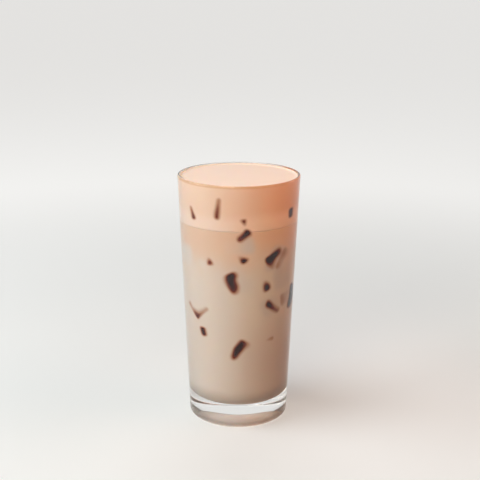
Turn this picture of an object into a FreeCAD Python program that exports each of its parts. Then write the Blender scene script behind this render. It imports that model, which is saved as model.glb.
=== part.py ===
import FreeCAD, Part
import math
import os

# Iced chai latte in a tall, tapered drinking glass.
# Millimetres, +Z up, origin at the centre of the surface that the glass stands on.
# Every piece is a solid of revolution about Z.  A half profile is drawn in the XZ plane,
# so the X of a profile point is its radius.

# --- Glass, outside ---
GLASS_HEIGHT = 161.0
RIM_OUTER_RADIUS = 39.0
LIP_THICKNESS = 1.9           # the fire-polished lip is a full round of this width
BASE_OUTER_RADIUS = 32.1      # where the wall turns into the heel
HEEL_RADIUS = 4.0             # outside corner between the wall and the foot

# --- Glass, heavy base ---
FOOT_INNER_RADIUS = 27.6      # inner edge of the ring that the glass stands on
FOOT_EDGE_RADIUS = 0.8        # rounding of that inner edge
PUNT_HEIGHT = 4.7             # how far the hollow underside rises
PUNT_FLAT_RADIUS = 10.0       # its flat middle
INNER_BASE_RADIUS = 27.4      # where the inner wall turns into the floor
FLOOR_CORNER_RADIUS = 12.5    # inside corner between the floor and the wall
FLOOR_HEIGHT = 13.0           # lowest level of the drink
FLOOR_BOWL_RADIUS = 250.0     # the floor is faintly dished

# --- Drink ---
FOAM_BELOW_LIP = 1.5          # filled almost to the brim
FOAM_CROWN = 0.8              # the foam stands a little higher in the middle
MENISCUS_RADIUS = 3.0         # hollow curve where the foam climbs the wall
MENISCUS_WIDTH = 2.0
FOAM_THICKNESS = 27.5         # from the foam's level down to the tea

PARTS_FOLDER = "parts"
AXIS_START = FreeCAD.Vector(0, 0, 0)
AXIS = FreeCAD.Vector(0, 0, 1)
OVERCUT = 5.0                 # cutting shapes run this far past what they cut
QUARTER = math.pi / 2


def point(radius, z):
    """A point of a half profile."""
    return FreeCAD.Vector(radius, 0, z)


def on_circle(centre, radius, angle):
    """The point of a profile circle at an angle measured from +radius towards +Z."""
    return centre + point(radius * math.cos(angle), radius * math.sin(angle))


def line(start, end):
    return Part.LineSegment(start, end).toShape()


def arc(centre, radius, start_angle, end_angle):
    """Profile edge along a circle, from one angle to the other."""
    middle_angle = (start_angle + end_angle) / 2
    angles = (start_angle, middle_angle, end_angle)
    return Part.Arc(*(on_circle(centre, radius, angle) for angle in angles)).toShape()


def revolve(edges):
    """The solid made by turning a closed half profile once round the axis."""
    face = Part.Face(Part.Wire(Part.sortEdges(edges)[0]))
    solid = face.revolve(AXIS_START, AXIS, 360)
    if solid.Volume < 0:
        solid.reverse()
    return solid


def wall_normal(lower_centre, lower_radius, upper_centre, upper_radius):
    """Angle of the normal of the straight wall that touches two circles.

    A negative radius means that the wall touches that circle on its inner side.
    """
    way = upper_centre - lower_centre
    lean = math.acos((lower_radius - upper_radius) / way.Length)
    return math.atan2(way.z, way.x) - lean


def dome(start, reach, level, rise, corner_radius):
    """A shallow dome that runs down smoothly into a hollow corner.

    The dome is level at the start radius, where it stands at level + rise.  The corner is
    a circle that stands on the level at the reach.  Returned are the dome's edge and the
    angle on the corner circle where the two touch.
    """
    run = reach - start
    radius = (run ** 2 + rise ** 2) / (2 * rise) - corner_radius
    centre = point(start, level + rise - radius)
    corner_centre = point(reach, level + corner_radius)
    way = corner_centre - centre
    touch = math.atan2(way.z, way.x)
    return arc(centre, radius, QUARTER, touch), touch + math.pi


LIP_RADIUS = LIP_THICKNESS / 2
LIP_CENTRE = point(RIM_OUTER_RADIUS - LIP_RADIUS, GLASS_HEIGHT - LIP_RADIUS)
HEEL_CENTRE = point(BASE_OUTER_RADIUS - HEEL_RADIUS, HEEL_RADIUS)
BOWL_CENTRE = point(0, FLOOR_HEIGHT + FLOOR_BOWL_RADIUS)
CORNER_REACH = INNER_BASE_RADIUS - FLOOR_CORNER_RADIUS
FLOOR_TOUCH = -math.acos(CORNER_REACH / (FLOOR_BOWL_RADIUS - FLOOR_CORNER_RADIUS))
CORNER_CENTRE = on_circle(BOWL_CENTRE, FLOOR_BOWL_RADIUS - FLOOR_CORNER_RADIUS, FLOOR_TOUCH)
OUTER_NORMAL = wall_normal(HEEL_CENTRE, HEEL_RADIUS, LIP_CENTRE, LIP_RADIUS)
INNER_NORMAL = wall_normal(CORNER_CENTRE, FLOOR_CORNER_RADIUS, LIP_CENTRE, -LIP_RADIUS)
INNER_WALL_TOP = on_circle(LIP_CENTRE, -LIP_RADIUS, INNER_NORMAL)
INNER_WALL_FOOT = on_circle(CORNER_CENTRE, FLOOR_CORNER_RADIUS, INNER_NORMAL)


def floor_edges():
    """The glass's inside floor: the dished middle and the round corner up to the wall."""
    bowl = arc(BOWL_CENTRE, FLOOR_BOWL_RADIUS, -QUARTER, FLOOR_TOUCH)
    corner = arc(CORNER_CENTRE, FLOOR_CORNER_RADIUS, FLOOR_TOUCH, INNER_NORMAL)
    return [bowl, corner]


def underside_edges():
    """The hollow punt, its rounded edge and the flat ring that the glass stands on."""
    flat = line(point(0, PUNT_HEIGHT), point(PUNT_FLAT_RADIUS, PUNT_HEIGHT))
    slope, touch = dome(PUNT_FLAT_RADIUS, FOOT_INNER_RADIUS, 0, PUNT_HEIGHT, FOOT_EDGE_RADIUS)
    edge_centre = point(FOOT_INNER_RADIUS, FOOT_EDGE_RADIUS)
    edge = arc(edge_centre, FOOT_EDGE_RADIUS, touch, 3 * QUARTER)
    ring = line(point(FOOT_INNER_RADIUS, 0), point(HEEL_CENTRE.x, 0))
    return [flat, slope, edge, ring]


def outside_edges():
    """The heel, the tapered outer wall and the full-round lip."""
    heel = arc(HEEL_CENTRE, HEEL_RADIUS, -QUARTER, OUTER_NORMAL)
    wall_foot = on_circle(HEEL_CENTRE, HEEL_RADIUS, OUTER_NORMAL)
    wall_top = on_circle(LIP_CENTRE, LIP_RADIUS, OUTER_NORMAL)
    lip = arc(LIP_CENTRE, LIP_RADIUS, OUTER_NORMAL, INNER_NORMAL + math.pi)
    return [heel, line(wall_foot, wall_top), lip]


def make_glass():
    """The tumbler: underside, outside and lip, inner wall, floor, and the axis between."""
    inner_wall = line(INNER_WALL_TOP, INNER_WALL_FOOT)
    axis = line(point(0, PUNT_HEIGHT), point(0, FLOOR_HEIGHT))
    return revolve(underside_edges() + outside_edges() + [inner_wall] + floor_edges() + [axis])


def make_cavity():
    """All that the glass can hold, with the inner wall carried on up to the lip's top."""
    way = INNER_WALL_TOP - INNER_WALL_FOOT
    brim = INNER_WALL_FOOT + way * ((GLASS_HEIGHT - INNER_WALL_FOOT.z) / way.z)
    middle = point(0, GLASS_HEIGHT)
    sides = [line(INNER_WALL_FOOT, brim), line(brim, middle), line(middle, point(0, FLOOR_HEIGHT))]
    return revolve(floor_edges() + sides)


def make_foam_band():
    """The foam's height and domed top, wider than the glass, with its meniscus."""
    level = GLASS_HEIGHT - FOAM_BELOW_LIP
    reach = INNER_WALL_TOP.x - MENISCUS_WIDTH
    top, touch = dome(0, reach, level, FOAM_CROWN, MENISCUS_RADIUS)
    meniscus_centre = point(reach, level + MENISCUS_RADIUS)
    meniscus = arc(meniscus_centre, MENISCUS_RADIUS, touch, 2 * math.pi)
    edge = meniscus_centre + point(MENISCUS_RADIUS, 0)
    bottom = point(edge.x, level - FOAM_THICKNESS)
    middle = point(0, bottom.z)
    sides = [line(edge, bottom), line(bottom, middle), line(middle, point(0, level + FOAM_CROWN))]
    return revolve([top, meniscus] + sides)


def make_foam():
    return make_cavity().common(make_foam_band())


def make_tea():
    """The drink under the foam, down to the floor of the glass."""
    foam_bottom = GLASS_HEIGHT - FOAM_BELOW_LIP - FOAM_THICKNESS
    below = Part.makeCylinder(RIM_OUTER_RADIUS + OVERCUT, foam_bottom)
    return make_cavity().common(below)


def write(node, shape):
    """Checks one piece and writes it to its STEP file."""
    solid = shape.Solids[0]
    if len(shape.Solids) != 1 or not solid.isValid():
        raise ValueError(node + " is not one valid solid")
    solid.exportStep(os.path.join(PARTS_FOLDER, node + ".step"))
    box = solid.BoundBox
    print(f"{node}: {solid.Volume / 1000:.1f} ml, z {box.ZMin:.2f} to {box.ZMax:.2f} mm")


os.makedirs(PARTS_FOLDER, exist_ok=True)
write("glass", make_glass())
write("tea", make_tea())
write("foam", make_foam())
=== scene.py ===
import math
import random

import bpy
import numpy as np
from mathutils import Matrix, Vector, noise
from mathutils.bvhtree import BVHTree


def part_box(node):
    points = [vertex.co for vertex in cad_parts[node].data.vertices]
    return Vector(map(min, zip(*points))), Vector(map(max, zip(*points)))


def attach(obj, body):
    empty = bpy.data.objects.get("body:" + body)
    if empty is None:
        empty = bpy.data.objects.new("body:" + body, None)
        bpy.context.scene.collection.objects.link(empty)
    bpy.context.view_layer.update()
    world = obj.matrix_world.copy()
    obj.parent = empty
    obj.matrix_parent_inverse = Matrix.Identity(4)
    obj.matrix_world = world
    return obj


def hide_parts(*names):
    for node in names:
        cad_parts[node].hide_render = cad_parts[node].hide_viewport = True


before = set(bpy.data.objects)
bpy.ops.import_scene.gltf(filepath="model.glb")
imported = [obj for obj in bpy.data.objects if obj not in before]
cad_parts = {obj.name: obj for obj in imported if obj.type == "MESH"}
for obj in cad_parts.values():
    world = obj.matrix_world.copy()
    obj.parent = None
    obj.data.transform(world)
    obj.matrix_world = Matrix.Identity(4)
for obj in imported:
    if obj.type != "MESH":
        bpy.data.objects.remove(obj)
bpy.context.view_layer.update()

# Iced chai latte in a tall glass: clear heavy-based tumbler, milky tea with sunken ice, and a
# thick layer of milk foam.  Metres, +Z up, the glass stands on the origin.

MM = 0.001
GLASS_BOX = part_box("glass")
TEA_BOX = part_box("tea")

# --- Glass, as in the frame ---
GLASS_HEIGHT = GLASS_BOX[1][2]
RIM_RADIUS = 39.0 * MM
LIP_RADIUS = 0.95 * MM
BASE_RADIUS = 32.1 * MM
HEEL_RADIUS = 4.0 * MM
FOOT_RADIUS = 27.6 * MM
FOOT_EDGE = 0.8 * MM
PUNT_HEIGHT = 4.7 * MM
PUNT_FLAT = 10.0 * MM
INNER_BASE_RADIUS = 27.4 * MM
CORNER_RADIUS = 12.5 * MM
BOWL_RADIUS = 250.0 * MM
FLOOR_HEIGHT = TEA_BOX[0][2]
TURN_STEPS = 192

# --- Drink ---
TEA_TOP = TEA_BOX[1][2]
FOAM_CROWN = 0.8 * MM
FOAM_BELOW_LIP = 1.5 * MM
FOAM_LEVEL = GLASS_HEIGHT - FOAM_BELOW_LIP
MENISCUS_RADIUS = 3.0 * MM
MENISCUS_WIDTH = 2.0 * MM
INTO_WALL = 0.22 * MM        # how far the drink reaches into the glass wall
ICE_PROUD = 0.10 * MM        # how far ice that touches the wall stands out of the drink
DRINK_STEPS = 384
TEA_ROW = 0.58 * MM
FILM_REACH = 6.0 * MM        # ice deeper than this under the surface doesn't show


# ------------------------------------------------------------------ drawing profiles
def deselect_all():
    if bpy.context.object and bpy.context.object.mode != "OBJECT":
        bpy.ops.object.mode_set(mode="OBJECT")
    bpy.ops.object.select_all(action="DESELECT")


def start_profile(name, radius, z):
    """A new mesh with one point, in edit mode, ready to be drawn on."""
    deselect_all()
    bpy.ops.mesh.primitive_plane_add(size=MM, location=(radius, 0, z))
    piece = bpy.context.object
    piece.name = name
    bpy.ops.object.transform_apply(location=True)
    bpy.ops.object.mode_set(mode="EDIT")
    bpy.ops.mesh.merge(type="CENTER")
    return piece


def draw_line(start, end, steps=1):
    """Extrudes the last point along a straight line."""
    step = ((end[0] - start[0]) / steps, 0, (end[1] - start[1]) / steps)
    for _ in range(steps):
        bpy.ops.mesh.extrude_region_move(TRANSFORM_OT_translate={"value": step})


def draw_arc(centre, start_angle, end_angle, steps):
    """Spins the last point about a centre; angles go from +radius towards +Z."""
    bpy.ops.mesh.spin(
        steps=steps,
        angle=end_angle - start_angle,
        center=(centre[0], 0, centre[1]),
        axis=(0, 1, 0),
    )


def on_circle(centre, radius, angle):
    return (centre[0] + radius * math.cos(angle), centre[1] + radius * math.sin(angle))


def wall_normal(lower, lower_radius, upper, upper_radius):
    """Angle of the normal of the straight wall that touches two circles."""
    run, rise = upper[0] - lower[0], upper[1] - lower[1]
    lean = math.acos((lower_radius - upper_radius) / math.hypot(run, rise))
    return math.atan2(rise, run) - lean


def dome(run, rise, corner_radius):
    """Radius of a shallow dome that runs into a corner circle, and the angle of their touch."""
    radius = (run ** 2 + rise ** 2) / (2 * rise) - corner_radius
    touch = math.acos(run / (radius + corner_radius))
    return radius, touch


def revolve(steps):
    """Turns the drawn profile once round the axis and closes it."""
    bpy.ops.mesh.select_all(action="SELECT")
    bpy.ops.mesh.spin(steps=steps, angle=2 * math.pi, center=(0, 0, 0), axis=(0, 0, 1))
    bpy.ops.mesh.select_all(action="SELECT")
    bpy.ops.mesh.remove_doubles(threshold=0.002 * MM)
    bpy.ops.mesh.normals_make_consistent(inside=False)
    bpy.ops.object.mode_set(mode="OBJECT")
    bpy.ops.object.shade_smooth()


LIP_CENTRE = (RIM_RADIUS - LIP_RADIUS, GLASS_HEIGHT - LIP_RADIUS)
HEEL_CENTRE = (BASE_RADIUS - HEEL_RADIUS, HEEL_RADIUS)
BOWL_CENTRE = (0, FLOOR_HEIGHT + BOWL_RADIUS)
FLOOR_TOUCH = -math.acos((INNER_BASE_RADIUS - CORNER_RADIUS) / (BOWL_RADIUS - CORNER_RADIUS))
CORNER_CENTRE = on_circle(BOWL_CENTRE, BOWL_RADIUS - CORNER_RADIUS, FLOOR_TOUCH)
OUTER_NORMAL = wall_normal(HEEL_CENTRE, HEEL_RADIUS, LIP_CENTRE, LIP_RADIUS)
INNER_NORMAL = wall_normal(CORNER_CENTRE, CORNER_RADIUS, LIP_CENTRE, -LIP_RADIUS)
INNER_TOP = on_circle(LIP_CENTRE, -LIP_RADIUS, INNER_NORMAL)
INNER_FOOT = on_circle(CORNER_CENTRE, CORNER_RADIUS, INNER_NORMAL)


def inner_radius(z):
    """Radius of the glass's straight inner wall at a height."""
    share = (z - INNER_FOOT[1]) / (INNER_TOP[1] - INNER_FOOT[1])
    return INNER_FOOT[0] + share * (INNER_TOP[0] - INNER_FOOT[0])


# ------------------------------------------------------------------ glass
def make_glass():
    """Punt, foot ring, heel, wall, full-round lip, inner wall, corner and floor."""
    glass = start_profile("glass_tumbler", 0, PUNT_HEIGHT)
    draw_line((0, PUNT_HEIGHT), (PUNT_FLAT, PUNT_HEIGHT), 4)
    slope_radius, touch = dome(FOOT_RADIUS - PUNT_FLAT, PUNT_HEIGHT, FOOT_EDGE)
    draw_arc((PUNT_FLAT, PUNT_HEIGHT - slope_radius), math.pi / 2, touch, 28)
    draw_arc((FOOT_RADIUS, FOOT_EDGE), touch + math.pi, 1.5 * math.pi, 6)
    draw_line((FOOT_RADIUS, 0), (HEEL_CENTRE[0], 0))
    draw_arc(HEEL_CENTRE, -math.pi / 2, OUTER_NORMAL, 16)
    wall_foot = on_circle(HEEL_CENTRE, HEEL_RADIUS, OUTER_NORMAL)
    draw_line(wall_foot, on_circle(LIP_CENTRE, LIP_RADIUS, OUTER_NORMAL), 8)
    draw_arc(LIP_CENTRE, OUTER_NORMAL, INNER_NORMAL + math.pi, 18)
    draw_line(INNER_TOP, INNER_FOOT, 8)
    draw_arc(CORNER_CENTRE, INNER_NORMAL, FLOOR_TOUCH, 22)
    draw_arc(BOWL_CENTRE, FLOOR_TOUCH, -math.pi / 2, 6)
    revolve(TURN_STEPS)
    return glass


# ------------------------------------------------------------------ drink
def make_tea():
    """The milky tea, a hair wider than the inside of the glass, up to the foam."""
    tea = start_profile("tea_body", 0, FLOOR_HEIGHT - INTO_WALL)
    draw_arc(BOWL_CENTRE, -math.pi / 2, FLOOR_TOUCH, 6)
    draw_arc(CORNER_CENTRE, FLOOR_TOUCH, INNER_NORMAL, 30)
    foot = on_circle(CORNER_CENTRE, CORNER_RADIUS + INTO_WALL, INNER_NORMAL)
    top = (inner_radius(TEA_TOP) + INTO_WALL, TEA_TOP)
    draw_line(foot, top, round((top[1] - foot[1]) / TEA_ROW))
    draw_line(top, (0, TEA_TOP), 6)
    revolve(DRINK_STEPS)
    return tea


def make_foam():
    """The foam layer: side, the curve where it climbs the glass, and the crowned top."""
    foam = start_profile("milk_foam", 0, TEA_TOP)
    foot = (inner_radius(TEA_TOP) + INTO_WALL, TEA_TOP)
    draw_line((0, TEA_TOP), foot, 6)
    reach = INNER_TOP[0] - MENISCUS_WIDTH
    centre = (reach, FOAM_LEVEL + MENISCUS_RADIUS)
    edge_angle = -math.acos((MENISCUS_WIDTH + INTO_WALL) / MENISCUS_RADIUS)
    edge = on_circle(centre, MENISCUS_RADIUS, edge_angle)
    draw_line(foot, edge, 48)
    crown_radius, touch = dome(reach, FOAM_CROWN, MENISCUS_RADIUS)
    draw_arc(centre, edge_angle, touch - math.pi, 6)
    draw_arc((0, FOAM_LEVEL + FOAM_CROWN - crown_radius), touch, math.pi / 2, 64)
    revolve(DRINK_STEPS)
    return foam


# ------------------------------------------------------------------ ice
# Each lump leans on the glass: where it touches (degrees from the front, positive to the
# right, and mm above the table), its width, height and depth in mm, how it is turned about
# its own height, leaned outwards at the top, slanted against the wall, how hard its melted
# edge is pressed flat there, in mm, and how sharp its edges still are, from 2 up.  With a
# press below zero it lies that many mm behind a film of drink.
FRONT_ICE = [
    (-49, 139, (12, 8, 12), 45, -3, 17, 0.6, 4),
    (-20.8, 143.8, (15, 14, 15), 46, 2.5, -7, 0.25, 4),
    (5, 139, (11, 11, 11), 45, 30, 15, 0.38, 6),
    (60.2, 141, (11, 6.5, 11), 42, 4, 2, 1.0, 2),
    (7.5, 131, (15, 10, 15), 42, 16, -50, 1.0, 2),
    (-30.5, 111, (12, 12, 12), 42, -24, 10, 0.5, 3),
    (5.5, 113.5, (15, 13, 15), 44, -16, 46, 0.95, 3),
    (34, 114, (15, 13, 16), 26, -8, -56, 1.7, 2),
    (-8.5, 103, (16, 17, 16), 42, 16, 16, 1.75, 2),
    (31.5, 94.5, (14, 11, 14), 45, -15, 26, 1.15, 3),
    (74, 83.5, (15, 15, 14), 16, 2, -8, 1.5, 2),
    (34.5, 83, (13, 12, 13), 34, 15, 62, 1.1, 2),
    (-51.5, 73, (13, 13, 13), 10, -8, 45, 0.68, 5),
    (-43.8, 64, (9, 6, 9), 45, 10, 12, 0.95, 2),
    (-0.2, 54.8, (14, 16, 14), 44, 15, -29, 1.2, 2),
    (29.5, 59, (13, 12, 13), 45, 4, -85, -0.3, 4),
    (50, 113, (13, 16, 12), 18, 4, -28, -0.25, 2),
    (56, 84, (14, 10, 12), 10, 4, 10, -0.22, 2),
]
# Clear lumps lie just inside the drink and show as grey, cloudy patches of painted shade.
# The last but one value is how deep they lie, in mm.
FRONT_CLEAR_ICE = [
    (-9, 122, (19, 13, 14), 0, 4, 8, 0.35, 1),
    (-64, 113, (15, 17, 15), -8, 4, -4, 0.4, 1),
    (46, 114, (14, 19, 14), 6, 4, -22, 0.2, 1),
    (49, 82, (19, 15, 15), 6, 6, 24, 0.2, 1),
    (2, 98, (12, 22, 14), 10, 4, 12, 0.7, 1),
    (60, 99, (16, 20, 14), 0, 4, 4, 0.5, 1),
    (-24, 106, (14, 18, 14), 0, 4, 30, 1.0, 1),
]
BACK_ICE_ROWS = (56, 76, 97, 118, 138)
BACK_ICE_IN_ROW = 4
BACK_ICE_FROM = 98.0         # degrees; the rest of the way round to 262
BACK_ICE_TO = 262.0
BACK_ICE_ASIDE = 8           # degrees and mm that a lump there may stray from its place
BACK_ICE_UP = 5
BACK_ICE_SIDES = (12, 17)
BACK_ICE_TURNS = ((30, 50), (-12, 12), (-55, 55))
BACK_ICE_PRESS = (0.4, 1.1)
BACK_ICE_PRESS_IN_FOAM = (0.25, 0.4)
BACK_ICE_SHARPNESS = (3, 4)
BACK_ICE_SEED = 7
CLEAR_EACH = 3               # every third lump there is a clear one
ICE_BENT = 1.1               # how far a lump strays from a true block, as a share of its press
ICE_BENDS = 110              # how closely its bends follow each other, per metre
ICE_UNEVEN = 0.2 * MM        # how uneven its faces are
ICE_DENTS = 240              # how closely the dents in them follow each other, per metre
ICE_CORE = 0.7 * MM          # ice pressed flat by this much shows its painted shade at its darkest
SHARP_FROM = 5               # lumps at least this sharp are rounded one step less
SEAT_ROUNDS = 8
SEAT_START = 0.6             # share of the wall's radius at which a lump sets out
SEAT_SOFTNESS = 0.15 * MM    # points within about this of the outermost one count as touching
SEAT_PULL = 0.8              # share of its error that a lump is moved by in each round
NOISE_SEED = 4
BEND_SEED = 40               # keeps a lump's bends apart from its dents


def outward(azimuth):
    """Unit vector out of the glass at an angle from the front, positive to the right."""
    turn = math.radians(azimuth)
    return Vector((math.sin(turn), -math.cos(turn), 0))


def wall_turn(azimuth, turn, lean, slant):
    """Rotation of a lump whose local X, Y, Z are along the wall, up, and out of the glass."""
    out = outward(azimuth)
    up = Vector((0, 0, 1))
    wall = Matrix((up.cross(out), up, out)).transposed()
    slanted = Matrix.Rotation(math.radians(slant), 3, "Z")
    leaned = Matrix.Rotation(math.radians(lean), 3, "X")
    turned = Matrix.Rotation(math.radians(turn), 3, "Y")
    return wall @ slanted @ leaned @ turned


def make_ice_lump(name, size, cuts):
    """A melted block of ice about the origin; the fewer cuts, the rounder its edges."""
    deselect_all()
    bpy.ops.mesh.primitive_cube_add(size=1, scale=[MM * side for side in size])
    lump = bpy.context.object
    lump.name = name
    bpy.ops.object.transform_apply(scale=True)
    bpy.ops.object.mode_set(mode="EDIT")
    bpy.ops.mesh.subdivide(number_cuts=cuts)
    bpy.ops.object.mode_set(mode="OBJECT")
    rounder = lump.modifiers.new("melted_edges", "SUBSURF")
    rounder.levels = rounder.render_levels = 2 if cuts >= SHARP_FROM else 3
    bpy.ops.object.modifier_apply(modifier=rounder.name)
    bpy.ops.object.shade_smooth()
    return lump


def mesh_points(piece):
    points = np.empty(len(piece.data.vertices) * 3)
    piece.data.vertices.foreach_get("co", points)
    return points.reshape(-1, 3)


def set_mesh_points(piece, points):
    piece.data.vertices.foreach_set("co", points.ravel())
    piece.data.update()


def roughen(points, amount, scale, seed):
    """Moves points by smooth noise, so that no two lumps are alike."""
    noise.seed_set(NOISE_SEED)
    shift = Vector((seed * 3.1, seed * 1.7, seed * 2.3))
    moves = [noise.noise_vector(Vector(p) * scale + shift) for p in points]
    return points + amount * np.array([move[:] for move in moves])


def past_wall(points):
    """How far points reach past the glass's inner wall."""
    return np.hypot(points[:, 0], points[:, 1]) - inner_radius(points[:, 2])


def seat_ice(lump, azimuth, z, turns, press, seed):
    """Turns a lump, moves it out to the wall and melts what is pressed against it flat."""
    points = roughen(mesh_points(lump), ICE_BENT * abs(press) * MM, ICE_BENDS, seed + BEND_SEED)
    points = roughen(points, ICE_UNEVEN, ICE_DENTS, seed)
    points = points @ np.array(wall_turn(azimuth, *turns)).T
    out = np.array(outward(azimuth))
    height = np.array((0, 0, z))
    centre = out * inner_radius(z) * SEAT_START + height
    for _ in range(SEAT_ROUNDS):
        placed = points + centre
        over = past_wall(placed)
        share = np.exp((over - over.max()) / SEAT_SOFTNESS)
        touch = (placed * share[:, None]).sum(0) / share.sum()
        centre = centre + SEAT_PULL * (out * inner_radius(z) + height - touch)
        over = past_wall(points + centre)
        centre = centre - out * (over.max() - press * MM)
    placed = points + centre
    radius = np.hypot(placed[:, 0], placed[:, 1])
    reach = inner_radius(placed[:, 2]) + INTO_WALL + ICE_PROUD
    placed[:, :2] *= np.minimum(1, reach / radius)[:, None]
    placed[:, 2] = np.minimum(placed[:, 2], FOAM_LEVEL - MM)
    set_mesh_points(lump, placed)
    core = lump.data.attributes.new("core", "FLOAT", "POINT")
    core.data.foreach_set("value", np.clip((radius - reach) / ICE_CORE, 0, 1))


def back_ice():
    """Lumps on the hidden side, as closely and unevenly placed as those in front."""
    dice = random.Random(BACK_ICE_SEED)
    lumps = []
    step = (BACK_ICE_TO - BACK_ICE_FROM) / BACK_ICE_IN_ROW
    for row, z in enumerate(BACK_ICE_ROWS):
        press_range = BACK_ICE_PRESS_IN_FOAM if z * MM > TEA_TOP else BACK_ICE_PRESS
        for column in range(BACK_ICE_IN_ROW):
            azimuth = BACK_ICE_FROM + step * (column + 0.25 + 0.5 * (row % 2))
            azimuth += dice.uniform(-BACK_ICE_ASIDE, BACK_ICE_ASIDE)
            size = [dice.uniform(*BACK_ICE_SIDES) for _ in range(3)]
            turns = [dice.uniform(*limits) for limits in BACK_ICE_TURNS]
            press = dice.uniform(*press_range)
            height = z + dice.uniform(-BACK_ICE_UP, BACK_ICE_UP)
            lumps.append((azimuth, height, size, *turns, press, dice.choice(BACK_ICE_SHARPNESS)))
    return lumps


def make_ice(rows, name, pressed):
    """Lumps of ice by their rows, pressed against the wall or lying behind a film of drink."""
    pieces = []
    for index, (azimuth, z, size, turn, lean, slant, press, cuts) in enumerate(rows):
        lump = make_ice_lump(f"{name}_{index + 1:02d}", size, cuts)
        press = press if pressed else -press
        seat_ice(lump, azimuth, z * MM, (turn, lean, slant), press, index + 1)
        pieces.append(lump)
    return pieces


def mark_film(piece, ice, name):
    """Stores at each point how much drink lies over the nearest ice, 1 being FILM_REACH or more."""
    corners = []
    faces = []
    for lump in ice:
        first = len(corners)
        corners.extend(vertex.co[:] for vertex in lump.data.vertices)
        faces.extend([first + i for i in face.vertices] for face in lump.data.polygons)
    tree = BVHTree.FromPolygons(corners, faces)
    film = piece.data.attributes.new(name, "FLOAT", "POINT")
    for index, vertex in enumerate(piece.data.vertices):
        place, normal, _, distance = tree.find_nearest(vertex.co, FILM_REACH)
        depth = 1.0
        if place is not None:
            inside = (vertex.co - place).dot(normal) < 0
            depth = 0.0 if inside else min(1.0, distance / FILM_REACH)
        film.data[index].value = depth


# ------------------------------------------------------------------ colours
GLASS_SHEEN = 0.03           # brightness that the glass's own reflection of a pale room adds


def linear(red, green, blue):
    """Linear colour from 0-255 display values."""
    def channel(value):
        value /= 255
        return value / 12.92 if value <= 0.04045 else ((value + 0.055) / 1.055) ** 2.4
    return (channel(red), channel(green), channel(blue))


def behind_glass(red, green, blue):
    """Colour of what is seen through the glass, less what the glass's reflection adds."""
    return tuple(max(0.0, channel - GLASS_SHEEN) for channel in linear(red, green, blue))


# Painted shade: the shaded inside of the drink, seen through clear ice where it touches the glass or
# lies under a thin film of drink.
ICE_SHADE_DARK = behind_glass(62, 16, 3)
ICE_SHADE_EDGE = behind_glass(116, 56, 32)
ICE_SHADE_BROWN = behind_glass(170, 118, 88)
# Painted shade, greyer, of clear ice that lies a little deeper under the drink:
ICE_GREY_SHADE = behind_glass(214, 205, 201)
ICE_GREY_SHADE_DARKER = behind_glass(200, 172, 152)
# Painted shade: the browner colours below are painted for the side of the drink away from the key
# lamp.
TEA_PLAIN = behind_glass(215, 203, 196)
TEA_SHADED = behind_glass(220, 191, 165)
# painted shade: darker still, low down on that side
TEA_LOW_SHADED = behind_glass(206, 169, 145)
TEA_ORANGE_PLAIN = behind_glass(218, 190, 172)
TEA_ORANGE_SHADED = behind_glass(232, 176, 134)
FOAM_PLAIN = behind_glass(228, 203, 187)
FOAM_SHADED = behind_glass(236, 168, 120)
FOAM_LOW_PLAIN = behind_glass(233, 211, 200)
FOAM_LOW_SHADED = behind_glass(247, 191, 149)
# Painted shade of the glass's lip, in a line at the top of the foam's side:
FOAM_LIP_SHADE = behind_glass(214, 180, 152)
FOAM_LIP_SHADE_DARKER = behind_glass(226, 164, 116)
FOAM_TOP = linear(252, 225, 210)
GLASS_TINT = (0.98, 0.99, 0.985, 1)
GLASS_SHADOW_TINT = (0.96, 0.97, 0.965, 1)

# --- Where the colours change ---
SHADE_FROM = -20 * MM        # painted shade: from the paler side of the drink to the browner one, away from the key lamp
SHADE_TO = 38 * MM
SHADE_WAVER = 16 * MM
TEA_ORANGE_FROM = TEA_TOP - 36 * MM
TEA_ORANGE_TO = TEA_TOP - 4 * MM
# Painted shade: the drink is painted darker low down on its shaded side, between these heights.
TEA_LOW_FROM = 85 * MM
TEA_LOW_TO = 45 * MM
TEA_WAVER = 40 * MM
FOAM_LOW_FROM = TEA_TOP + 13 * MM
FOAM_LOW_TO = TEA_TOP + 5 * MM
FOAM_WAVER = 8 * MM
FOAM_RIM_DEPTH = 0.9 * MM    # painted shade of the glass's lip: the darker line where the foam climbs the glass
FOAM_RIM_BLUR = 0.15 * MM
EDGE_FILM = 0.08             # painted shade of drink over ice, as a share of FILM_REACH: dark up to here,
BROWN_FILM = 0.26            # brown up to here,
GREY_VEIL = 0.5              # and painted grey shade over clear ice up to here


# ------------------------------------------------------------------ materials
def new_material(name):
    material = bpy.data.materials.new(name)
    material.use_nodes = True
    shader = material.node_tree.nodes["Principled BSDF"]
    return material, material.node_tree, shader


def add_node(tree, kind, inputs=None, **settings):
    node = tree.nodes.new(kind)
    for key, value in settings.items():
        setattr(node, key, value)
    for key, value in (inputs or {}).items():
        if isinstance(value, bpy.types.NodeSocket):
            tree.links.new(value, node.inputs[key])
        else:
            node.inputs[key].default_value = value
    return node


def object_point(tree, stretch=(1, 1, 1)):
    place = add_node(tree, "ShaderNodeTexCoord").outputs["Object"]
    return add_node(tree, "ShaderNodeMapping", {"Vector": place, "Scale": stretch}).outputs[0]


def noise_field(tree, scale, detail=3, stretch=(1, 1, 1)):
    inputs = {"Vector": object_point(tree, stretch), "Scale": scale, "Detail": detail}
    return add_node(tree, "ShaderNodeTexNoise", inputs).outputs["Fac"]


def ramp(tree, value, stops):
    """Colour ramp; each stop is a place from 0 to 1 and a linear colour."""
    node = add_node(tree, "ShaderNodeValToRGB", {"Fac": value})
    elements = node.color_ramp.elements
    while len(elements) < len(stops):
        elements.new(0.5)
    for element, (place, colour) in zip(elements, stops):
        element.position = place
        element.color = (*colour, 1)
    return node.outputs["Color"]


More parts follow.
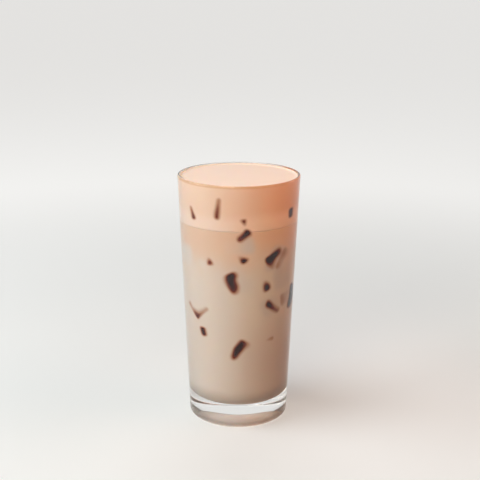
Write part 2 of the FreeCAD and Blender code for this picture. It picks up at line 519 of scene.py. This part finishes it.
def between(tree, value, low, high, to_low=0.0, to_high=1.0):
    """Maps a value from one range to another, clamped and eased."""
    inputs = {"Value": value, "From Min": low, "From Max": high}
    inputs.update({"To Min": to_low, "To Max": to_high})
    settings = {"interpolation_type": "SMOOTHSTEP", "clamp": True}
    return add_node(tree, "ShaderNodeMapRange", inputs, **settings).outputs["Result"]


def mix_colour(tree, share, first, second):
    inputs = {0: share, 6: first, 7: second}
    return add_node(tree, "ShaderNodeMix", inputs, data_type="RGBA").outputs[2]


def maths(tree, operation, first, second):
    inputs = {0: first, 1: second}
    return add_node(tree, "ShaderNodeMath", inputs, operation=operation).outputs[0]


def place_along(tree, axis, piece_noise, waver):
    """Place along an axis of the object in metres, made to waver by noise."""
    place = add_node(tree, "ShaderNodeTexCoord").outputs["Object"]
    along = add_node(tree, "ShaderNodeSeparateXYZ", {"Vector": place}).outputs[axis]
    shift = maths(tree, "MULTIPLY", maths(tree, "SUBTRACT", piece_noise, 0.5), waver)
    return maths(tree, "ADD", along, shift)


def shaded_side(tree, piece_noise, plain, shaded):
    """Painted shade: one side of the drink stays paler, the other, towards +X and away from the key
    lamp, is painted browner.
    """
    across = place_along(tree, "X", piece_noise, SHADE_WAVER)
    share = between(tree, across, SHADE_FROM, SHADE_TO)
    return mix_colour(tree, share, (*plain, 1), (*shaded, 1))


def glass_material():
    """Clear polished glass with the faint unevenness of pressed ware; lamps shine through."""
    material, tree, shader = new_material("clear_glass")
    shader.inputs["Base Color"].default_value = GLASS_TINT
    shader.inputs["Roughness"].default_value = 0.0
    shader.inputs["IOR"].default_value = 1.52
    shader.inputs["Transmission Weight"].default_value = 1.0
    waves = noise_field(tree, 60, 2, (1, 1, 0.35))
    bump = add_node(tree, "ShaderNodeBump", {"Height": waves, "Strength": 0.02, "Distance": 0.002})
    tree.links.new(bump.outputs[0], shader.inputs["Normal"])
    clear = add_node(tree, "ShaderNodeBsdfTransparent", {"Color": GLASS_SHADOW_TINT})
    shadow = add_node(tree, "ShaderNodeLightPath").outputs["Is Shadow Ray"]
    inputs = {0: shadow, 1: shader.outputs[0], 2: clear.outputs[0]}
    shade = add_node(tree, "ShaderNodeMixShader", inputs)
    tree.links.new(shade.outputs[0], tree.nodes["Material Output"].inputs["Surface"])
    return material


def milky(shader, colour, tree):
    """The settings that both milky layers share: matt, soft and lit from within."""
    tree.links.new(colour, shader.inputs["Base Color"])
    shader.inputs["Roughness"].default_value = 0.6
    shader.inputs["Specular IOR Level"].default_value = 0.0
    shader.inputs["Subsurface Weight"].default_value = 0.3
    shader.inputs["Subsurface Radius"].default_value = (0.003, 0.0012, 0.0006)
    shader.inputs["Subsurface Scale"].default_value = 1.0


def show_ice(tree, body):
    """Colour of a layer of drink, painted dark where it is thin over the edge of a lump of ice:
    painted shade of the drink's inside, seen through the clear ice.
    """
    film = add_node(tree, "ShaderNodeAttribute", attribute_name="film").outputs["Fac"]
    over_ice = ramp(tree, film, [(0.0, ICE_SHADE_EDGE), (EDGE_FILM, ICE_SHADE_BROWN), (1.0, ICE_SHADE_BROWN)])
    return mix_colour(tree, between(tree, film, 0.0, BROWN_FILM), over_ice, body)


def tea_material():
    """Milky tea: orange under the foam, beige below; painted shade makes it browner towards +X,
    darker low down there, and greyer and darker over the ice.
    """
    material, tree, shader = new_material("milky_tea")
    swirl = noise_field(tree, 32, 3, (1, 1, 0.45))
    height = place_along(tree, "Z", swirl, TEA_WAVER)
    orange = between(tree, height, TEA_ORANGE_FROM, TEA_ORANGE_TO)
    # painted shade: darker low down on the shaded side
    low = between(tree, height, TEA_LOW_FROM, TEA_LOW_TO)
    # Painted shade: each colour is made browner towards +X, the side away from the key lamp.
    beige = mix_colour(
        tree,
        low,
        shaded_side(tree, swirl, TEA_PLAIN, TEA_SHADED),
        shaded_side(tree, swirl, TEA_PLAIN, TEA_LOW_SHADED),
    )
    upper = shaded_side(tree, swirl, TEA_ORANGE_PLAIN, TEA_ORANGE_SHADED)
    body = mix_colour(tree, orange, beige, upper)
    # painted shade: grey where clear ice lies just under the drink, browner towards +X
    veil = add_node(tree, "ShaderNodeAttribute", attribute_name="veil").outputs["Fac"]
    grey = shaded_side(tree, swirl, ICE_GREY_SHADE, ICE_GREY_SHADE_DARKER)
    body = mix_colour(tree, between(tree, veil, 0.0, GREY_VEIL), grey, body)
    milky(shader, show_ice(tree, body), tree)
    return material


def foam_material():
    """Milk foam: peach at the side, paler just above the tea and on top, with fine bubbles; painted
    shade browns its side towards +X, darkens a line where it climbs the glass, and darkens it over
    ice.
    """
    material, tree, shader = new_material("milk_foam")
    swirl = noise_field(tree, 30, 3, (1, 1, 0.4))
    height = place_along(tree, "Z", swirl, FOAM_WAVER)
    low = between(tree, height, FOAM_LOW_FROM, FOAM_LOW_TO)
    # Painted shade: each colour is made browner towards +X, the side away from the key lamp.
    side = mix_colour(
        tree,
        low,
        shaded_side(tree, swirl, FOAM_PLAIN, FOAM_SHADED),
        shaded_side(tree, swirl, FOAM_LOW_PLAIN, FOAM_LOW_SHADED),
    )
    level = place_along(tree, "Z", swirl, 0)
    # painted shade of the glass's lip, in a line at the top of the foam's side
    rim = between(tree, level, FOAM_LEVEL - FOAM_RIM_DEPTH, FOAM_LEVEL)
    side = mix_colour(tree, rim, side, shaded_side(tree, swirl, FOAM_LIP_SHADE, FOAM_LIP_SHADE_DARKER))
    flat = object_point(tree, (1, 1, 0))
    radius = add_node(tree, "ShaderNodeVectorMath", {0: flat}, operation="LENGTH").outputs["Value"]
    inward = between(tree, radius, INNER_TOP[0] + FOAM_RIM_BLUR, INNER_TOP[0] - FOAM_RIM_BLUR)
    top = maths(tree, "MULTIPLY", inward, rim)
    milky(shader, mix_colour(tree, top, show_ice(tree, side), (*FOAM_TOP, 1)), tree)
    inputs = {"Vector": object_point(tree), "Scale": 2600, "Randomness": 1.0}
    bubbles = add_node(tree, "ShaderNodeTexVoronoi", inputs).outputs["Distance"]
    bump = add_node(tree, "ShaderNodeBump", {"Height": bubbles, "Strength": 0.25, "Distance": 0.0003})
    tree.links.new(bump.outputs[0], shader.inputs["Normal"])
    return material


def ice_material():
    """Ice against the glass, painted dark: painted shade of the drink's inside, seen through the
    clear ice.
    """
    material, tree, shader = new_material("sunken_ice")
    core = add_node(tree, "ShaderNodeAttribute", attribute_name="core").outputs["Fac"]
    uneven = maths(tree, "MULTIPLY", noise_field(tree, 260, 3), 0.4)
    shade = maths(tree, "SUBTRACT", maths(tree, "ADD", core, uneven), 0.2)
    colour = ramp(tree, shade, [(0.0, ICE_SHADE_EDGE), (0.6, ICE_SHADE_DARK)])
    tree.links.new(colour, shader.inputs["Base Color"])
    shader.inputs["Roughness"].default_value = 0.35
    shader.inputs["Specular IOR Level"].default_value = 0.0
    return material


# ------------------------------------------------------------------ stage
CAMERA_DISTANCE = 0.6825     # from the glass's axis, on the level
CAMERA_HEIGHT = 0.3038
CAMERA_PITCH = math.radians(15.28)
CAMERA_ROLL = math.radians(-0.2)
CAMERA_LENS = 82.5
CAMERA_SIDE = 0.0002
AIM_AT_DRINK = 0.09          # a lamp points at the middle of the glass
AIM_AT_FOAM = 0.15           # or at the foam

FLOOR_SIZE = 12.0
FLOOR_PALE = (0.79, 0.82, 0.84)
FLOOR_PALEST = (0.83, 0.86, 0.88)
FLOOR_FAR = (0.30, 0.31, 0.315, 1)    # far away the glow does most of the showing
FLOOR_LIGHTING = (0.26, 0.20, 0.15, 1)    # the floor's colour as it lights the glass
FLOOR_FAR_FROM = 0.15
FLOOR_FAR_TO = 0.7
GLOW_TINT = (1.0, 0.99, 0.97, 1)
GLOW_NEAR = 0.10             # the part of the floor's brightness that no shadow takes
GLOW_FAR = 0.73              # the same away from the lamps, for an even floor
GLOW_NEAR_TO = 0.1
FLOOR_EVEN_FROM = 0.75
POOL_UNDER_GLASS = 0.9       # light that the heavy base gathers on the table under it
POOL_FULL = 0.7              # share of the foot's radius within which the pool is full

WORLD_LIGHT = 0.04
WORLD_SHOWN = 0.80
WORLD_LIGHT_TINT = (1.0, 0.72, 0.54, 1)
WORLD_SHOWN_TINT = (1.0, 0.99, 0.975, 1)

# Each soft box: its angle about the glass from the front, positive to the right, its height
# as an angle, its distance, its sides, its watts, its tint and the height it points at.
LAMPS = {
    "key_left": (-80, 28, 1.1, (1.0, 0.9), 6.3, (0.87, 0.97, 1.0), AIM_AT_DRINK),
    "front": (-22, 20, 1.1, (0.6, 0.6), 5.3, (1.0, 0.87, 0.70), AIM_AT_DRINK),
    "right_near": (75, 40, 0.4, (0.2, 0.2), 0.37, (1.0, 0.66, 0.5), AIM_AT_FOAM),
    "right_rim": (105, 8, 0.2, (0.08, 0.08), 0.06, (1.0, 0.68, 0.62), AIM_AT_FOAM),
    "top_left": (-60, 72, 1.0, (0.5, 0.5), 3.6, (1.0, 0.99, 0.96), AIM_AT_FOAM),
    "top_back": (180, 60, 1.0, (0.5, 0.5), 2.0, (1.0, 0.99, 0.96), AIM_AT_FOAM),
}


def seen_share(tree):
    """1 where a surface is seen, straight or by way of the glass, and 0 where it lights."""
    path = add_node(tree, "ShaderNodeLightPath").outputs
    no_bounce = maths(tree, "LESS_THAN", path["Diffuse Depth"], 0.5)
    by_glass = maths(tree, "MAXIMUM", path["Is Transmission Ray"], path["Is Glossy Ray"])
    seen_by_glass = maths(tree, "MULTIPLY", by_glass, no_bounce)
    return maths(tree, "MAXIMUM", path["Is Camera Ray"], seen_by_glass)


def floor_material():
    """Pale matt floor that lights the glass less than it shows, but for the pool under it."""
    material, tree, shader = new_material("pale_floor")
    seen = seen_share(tree)
    pale = noise_field(tree, 3, 2)
    place = add_node(tree, "ShaderNodeTexCoord").outputs["Object"]
    distance = add_node(tree, "ShaderNodeVectorMath", {0: place}, operation="LENGTH").outputs["Value"]
    shown = ramp(tree, pale, [(0.3, FLOOR_PALE), (0.7, FLOOR_PALEST)])
    far = between(tree, distance, FLOOR_FAR_FROM, FLOOR_FAR_TO)
    shown = mix_colour(tree, far, shown, FLOOR_FAR)
    colour = mix_colour(tree, seen, FLOOR_LIGHTING, shown)
    tree.links.new(colour, shader.inputs["Base Color"])
    shader.inputs["Roughness"].default_value = 0.9
    shader.inputs["Specular IOR Level"].default_value = 0.1
    shader.inputs["Emission Color"].default_value = GLOW_TINT
    glow = between(tree, distance, GLOW_NEAR_TO, FLOOR_EVEN_FROM, GLOW_NEAR, GLOW_FAR)
    pool = between(tree, distance, FOOT_RADIUS, POOL_FULL * FOOT_RADIUS, 0, POOL_UNDER_GLASS)
    unseen = maths(tree, "SUBTRACT", 1, seen)
    seen_glow = maths(tree, "MULTIPLY", seen, glow)
    strength = maths(tree, "ADD", seen_glow, maths(tree, "MULTIPLY", unseen, pool))
    tree.links.new(strength, shader.inputs["Emission Strength"])
    return material


def make_camera():
    camera = bpy.data.objects.new("camera", bpy.data.cameras.new("camera"))
    bpy.context.collection.objects.link(camera)
    camera.data.lens = CAMERA_LENS
    camera.data.clip_start = 0.01
    camera.location = (CAMERA_SIDE, -CAMERA_DISTANCE, CAMERA_HEIGHT)
    camera.rotation_euler = (math.pi / 2 - CAMERA_PITCH, CAMERA_ROLL, 0)
    bpy.context.scene.camera = camera


def make_lamp(name, azimuth, elevation, distance, size, power, tint, aim):
    """A soft box that points at the glass from an angle about it."""
    lamp = bpy.data.objects.new(name, bpy.data.lights.new(name, "AREA"))
    bpy.context.collection.objects.link(lamp)
    lamp.data.shape = "RECTANGLE"
    lamp.data.size, lamp.data.size_y = size
    lamp.data.energy = power
    lamp.data.color = tint
    rise = math.radians(elevation)
    target = Vector((0, 0, aim))
    way = outward(azimuth) * math.cos(rise) + Vector((0, 0, math.sin(rise)))
    lamp.location = target + distance * way
    lamp.rotation_euler = (target - lamp.location).to_track_quat("-Z", "Y").to_euler()


def make_floor():
    deselect_all()
    bpy.ops.mesh.primitive_plane_add(size=FLOOR_SIZE, location=(0, 0, 0))
    floor = bpy.context.object
    floor.name = "floor"
    floor.data.materials.append(floor_material())


def make_world():
    """Dim, even light from all round; the background itself shows pale."""
    world = bpy.data.worlds.new("studio")
    bpy.context.scene.world = world
    world.use_nodes = True
    tree = world.node_tree
    tree.nodes.clear()
    seen = seen_share(tree)
    level = between(tree, seen, 0, 1, WORLD_LIGHT, WORLD_SHOWN)
    tint = mix_colour(tree, seen, WORLD_LIGHT_TINT, WORLD_SHOWN_TINT)
    inputs = {"Color": tint, "Strength": level}
    background = add_node(tree, "ShaderNodeBackground", inputs)
    output = add_node(tree, "ShaderNodeOutputWorld")
    tree.links.new(background.outputs[0], output.inputs["Surface"])


def dress(piece, material, node):
    """Gives a finished piece its material and ties it to the frame."""
    piece.data.materials.clear()
    piece.data.materials.append(material)
    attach(piece, "root")
    if node:
        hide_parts(node)


glass = make_glass()
tea = make_tea()
foam = make_foam()
hidden_rows = back_ice()
clear_rows = FRONT_CLEAR_ICE + hidden_rows[::CLEAR_EACH]
edge_rows = FRONT_ICE + [row for i, row in enumerate(hidden_rows) if i % CLEAR_EACH]
ice = make_ice(edge_rows, "ice", True)
clear_ice = make_ice(clear_rows, "clear_ice", False)
mark_film(tea, ice, "film")
mark_film(tea, clear_ice, "veil")
mark_film(foam, ice, "film")
dress(glass, glass_material(), "glass")
dress(tea, tea_material(), "tea")
dress(foam, foam_material(), "foam")
ice_finish = ice_material()
for lump in ice + clear_ice:
    dress(lump, ice_finish, None)

make_floor()
make_world()
for name, settings in LAMPS.items():
    make_lamp(name, *settings)
make_camera()
bpy.context.scene.view_settings.view_transform = "Standard"
